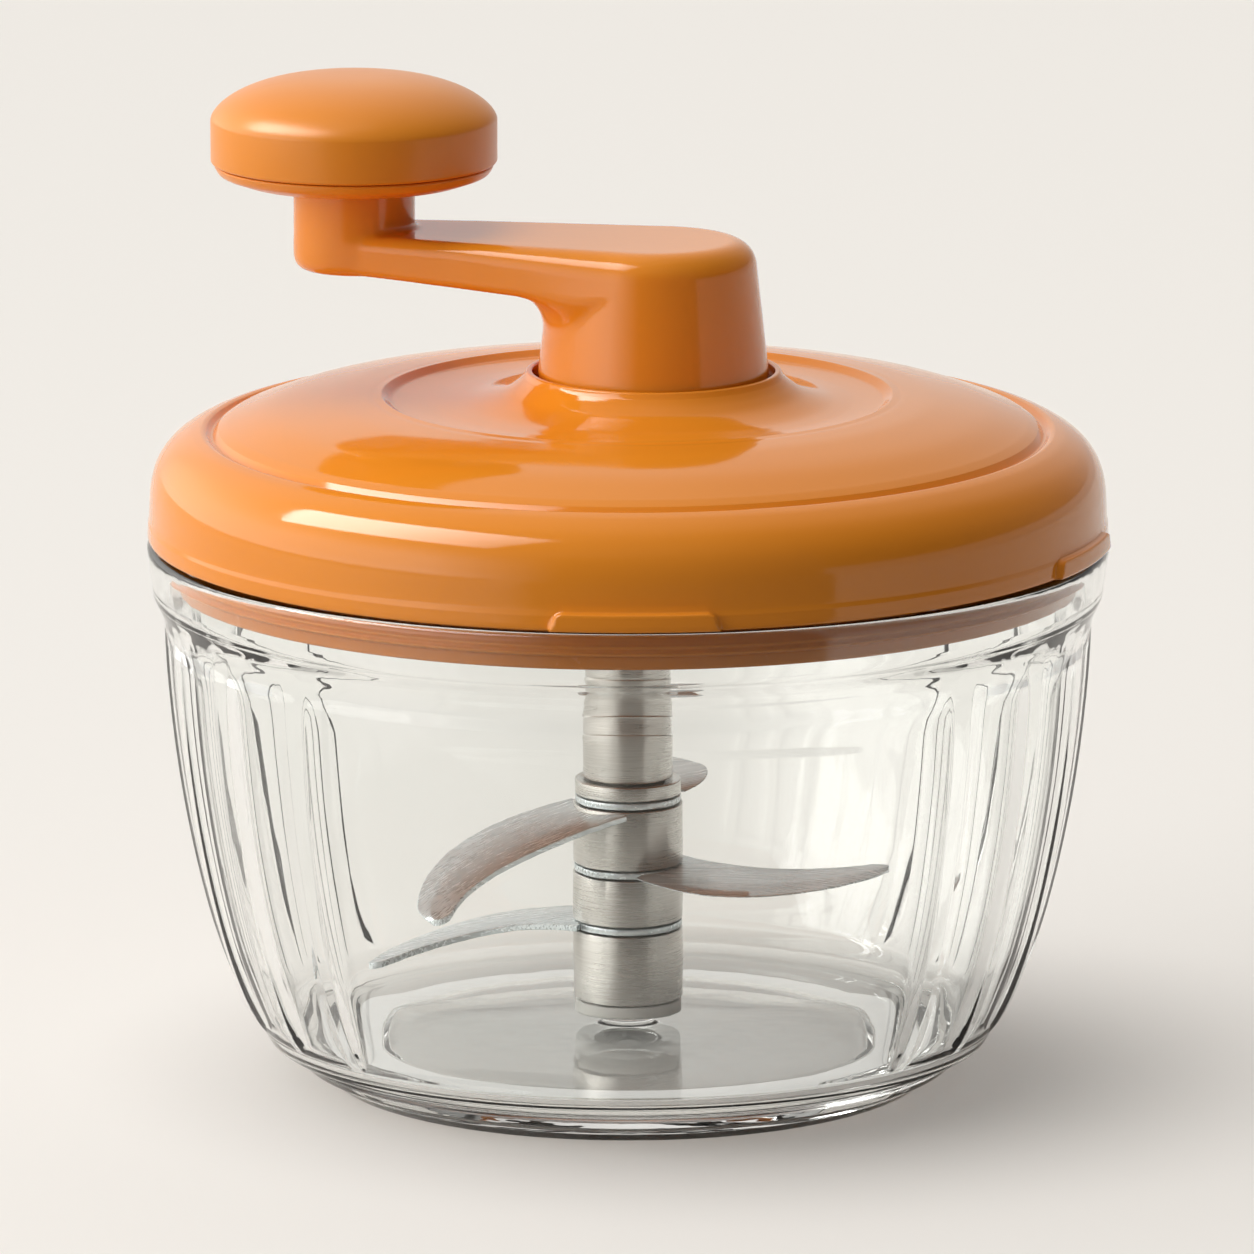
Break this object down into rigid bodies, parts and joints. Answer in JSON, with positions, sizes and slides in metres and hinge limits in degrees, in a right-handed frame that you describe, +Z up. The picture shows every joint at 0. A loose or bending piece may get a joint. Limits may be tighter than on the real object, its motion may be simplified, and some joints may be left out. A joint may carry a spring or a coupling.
{
  "type": "hand-cranked food chopper",
  "caption": "Round ribbed glass bowl with a domed lift-off lid, an off-centre top crank with a turning knob, and curved blades on a central steel shaft.",
  "frame": {"origin": "centre of the bowl's underside, on the surface it stands on", "axes": "+Z up along the bowl's axis; -Y is the side seen in the picture; the crank arm points to -X, turned 14 degrees to the back"},
  "size_m": [0.1504, 0.1516, 0.1565],
  "materials": {
    "clear_glass": "clear, polished, faint green in its thickness",
    "orange_plastic": "high gloss",
    "orange_inner": "semi gloss",
    "orange_silicone": "satin",
    "brushed_blade": "brushed along the blade",
    "brushed_shaft": "turned, fine rings",
    "plain_steel": "bright",
    "white_acetal": "satin"
  },
  "bodies": {
    "bowl": {"glass_bowl": "clear_glass"},
    "lid": {"lid_shell": "orange_plastic", "gear_plate": "orange_inner", "cover_screw_1": "plain_steel", "cover_screw_2": "plain_steel", "cover_screw_3": "plain_steel", "seal_ring": "orange_silicone", "idler_pin_front": "plain_steel", "idler_pin_back": "plain_steel", "spindle_bush": "white_acetal", "hub_bearing": "white_acetal"},
    "crank": {"crank_arm": "orange_plastic", "ring_gear": "white_acetal", "drive_screw_left": "plain_steel", "drive_screw_right": "plain_steel", "knob_axle": "plain_steel"},
    "knob": {"knob_base": "orange_plastic", "knob_cap": "orange_plastic"},
    "idler_front": {"idler_gear_front": "white_acetal"},
    "idler_back": {"idler_gear_back": "white_acetal"},
    "spindle": {"drive_spindle": "white_acetal"},
    "rotor": {"rotor_core": "white_acetal", "hub_lower": "brushed_shaft", "hub_middle": "brushed_shaft", "hub_upper": "brushed_shaft", "hub_collar": "brushed_shaft", "shaft_tube": "brushed_shaft", "blade_upper": "brushed_blade", "blade_middle": "brushed_blade", "blade_lower": "brushed_blade"}
  },
  "joints": [
    {"name": "lid_lift", "type": "slide", "parent": "bowl", "child": "lid", "axis": [0, 0, 1], "range_m": [0, 0.06]},
    {"name": "crank_spin", "type": "hinge", "parent": "lid", "child": "crank", "pos_m": [0.004, 0, 0.1325], "axis": [0, 0, 1], "continuous": true},
    {"name": "knob_spin", "type": "hinge", "parent": "crank", "child": "knob", "pos_m": [-0.04277, 0.01166, 0.148], "axis": [0, 0, 1], "continuous": true},
    {"name": "idler_front_spin", "type": "hinge", "parent": "lid", "child": "idler_front", "pos_m": [0.002, -0.01386, 0.0945], "axis": [0, 0, 1], "continuous": true},
    {"name": "idler_back_spin", "type": "hinge", "parent": "lid", "child": "idler_back", "pos_m": [0.002, 0.01386, 0.0945], "axis": [0, 0, 1], "continuous": true},
    {"name": "spindle_spin", "type": "hinge", "parent": "lid", "child": "spindle", "pos_m": [0, 0, 0.09], "axis": [0, 0, 1], "continuous": true},
    {"name": "rotor_spin", "type": "hinge", "parent": "bowl", "child": "rotor", "pos_m": [0, 0, 0.04], "axis": [0, 0, 1], "continuous": true}
  ],
  "couplings": [
    {"joint": "idler_front_spin", "follows": "crank_spin", "ratio": 2.75},
    {"joint": "idler_back_spin", "follows": "crank_spin", "ratio": 2.75},
    {"joint": "spindle_spin", "follows": "crank_spin", "ratio": -3.6667},
    {"joint": "rotor_spin", "follows": "crank_spin", "ratio": -3.6667}
  ]
}
